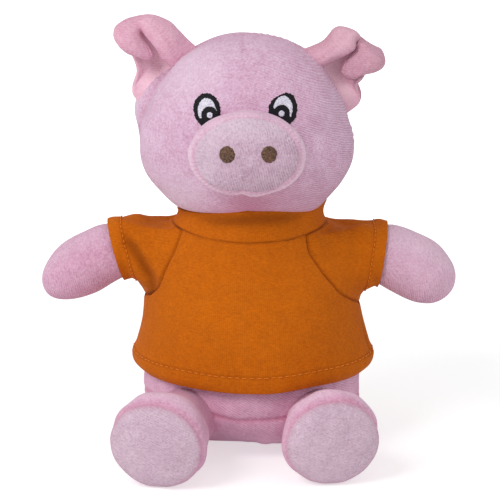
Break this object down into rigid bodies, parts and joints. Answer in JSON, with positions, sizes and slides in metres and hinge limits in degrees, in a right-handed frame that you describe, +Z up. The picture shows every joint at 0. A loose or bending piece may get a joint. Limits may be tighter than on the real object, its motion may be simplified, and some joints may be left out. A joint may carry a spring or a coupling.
{
  "type": "plush pig",
  "caption": "Soft stuffed pig sitting upright in a knitted shirt, with a turning head, raised arms, forward legs, flopping ears and a curled tail.",
  "frame": {"origin": "centre of the flat seat that the toy sits on", "axes": "+Z up through the crown, -Y the way the pig faces, +X to the pig's own left"},
  "size_m": [0.1718, 0.1261, 0.1843],
  "materials": {
    "pink_plush": "short pile",
    "sole_plush": "short pile",
    "orange_jersey": "fine knit",
    "black_thread": "satin stitch",
    "white_thread": "satin stitch",
    "brown_thread": "satin stitch",
    "polyester_fill": "loose fibre",
    "pellet_bag": "plain weave"
  },
  "bodies": {
    "torso": {"body_panel_front": "pink_plush", "body_panel_back": "pink_plush", "body_seat_panel": "pink_plush", "body_stuffing": "polyester_fill", "pellet_pouch": "pellet_bag", "shirt_front": "orange_jersey", "shirt_back": "orange_jersey", "shirt_collar": "orange_jersey"},
    "neck": {"neck_stuffing": "polyester_fill"},
    "head": {"face_panel": "pink_plush", "head_back_panel": "pink_plush", "head_stuffing": "polyester_fill", "snout_band": "pink_plush", "snout_pad": "sole_plush", "snout_stuffing": "polyester_fill", "nostril_left": "brown_thread", "nostril_right": "brown_thread", "eye_black_left": "black_thread", "eye_black_right": "black_thread", "eye_white_left": "white_thread", "eye_white_right": "white_thread", "eye_glint_left": "white_thread", "eye_glint_right": "white_thread"},
    "ear_left": {"ear_front_panel_left": "pink_plush", "ear_back_panel_left": "pink_plush"},
    "ear_right": {"ear_front_panel_right": "pink_plush", "ear_back_panel_right": "pink_plush"},
    "arm_left": {"arm_skin_left": "pink_plush", "arm_stuffing_left": "polyester_fill", "sleeve_left": "orange_jersey"},
    "arm_right": {"arm_skin_right": "pink_plush", "arm_stuffing_right": "polyester_fill", "sleeve_right": "orange_jersey"},
    "leg_left": {"leg_skin_left": "pink_plush", "leg_sole_left": "sole_plush", "leg_stuffing_left": "polyester_fill"},
    "leg_right": {"leg_skin_right": "pink_plush", "leg_sole_right": "sole_plush", "leg_stuffing_right": "polyester_fill"},
    "tail": {"tail": "pink_plush"}
  },
  "joints": [
    {"name": "neck_turn", "type": "hinge", "parent": "torso", "child": "neck", "pos_m": [0, 0, 0.078], "axis": [0, 0, 1], "range_deg": [-30, 30], "stiffness_Nm_per_rad": 0.1},
    {"name": "head_nod", "type": "hinge", "parent": "neck", "child": "head", "pos_m": [0, 0, 0.078], "axis": [1, 0, 0], "range_deg": [-10, 10], "stiffness_Nm_per_rad": 0.4},
    {"name": "ear_left_flop", "type": "hinge", "parent": "head", "child": "ear_left", "pos_m": [0.0321, 0, 0.1551], "axis": [-0.6231, 0, 0.7821], "range_deg": [-15, 15], "stiffness_Nm_per_rad": 0.01},
    {"name": "ear_right_flop", "type": "hinge", "parent": "head", "child": "ear_right", "pos_m": [-0.0321, 0, 0.1551], "axis": [0.6231, 0, 0.7821], "range_deg": [-15, 15], "stiffness_Nm_per_rad": 0.01},
    {"name": "shoulder_left", "type": "hinge", "parent": "torso", "child": "arm_left", "pos_m": [0.044, 0, 0.0795], "axis": [0, -1, 0], "range_deg": [-25, 35], "stiffness_Nm_per_rad": 0.08},
    {"name": "shoulder_right", "type": "hinge", "parent": "torso", "child": "arm_right", "pos_m": [-0.044, 0, 0.0795], "axis": [0, 1, 0], "range_deg": [-25, 35], "stiffness_Nm_per_rad": 0.08},
    {"name": "hip_left", "type": "hinge", "parent": "torso", "child": "leg_left", "pos_m": [0.027, -0.034, 0.0175], "axis": [-1, 0, 0], "range_deg": [0, 18], "stiffness_Nm_per_rad": 0.08},
    {"name": "hip_right", "type": "hinge", "parent": "torso", "child": "leg_right", "pos_m": [-0.027, -0.034, 0.0175], "axis": [-1, 0, 0], "range_deg": [0, 18], "stiffness_Nm_per_rad": 0.08},
    {"name": "tail_flop", "type": "hinge", "parent": "torso", "child": "tail", "pos_m": [0, 0.0349, 0.017], "axis": [1, 0, 0], "range_deg": [-15, 10], "stiffness_Nm_per_rad": 0.004}
  ]
}
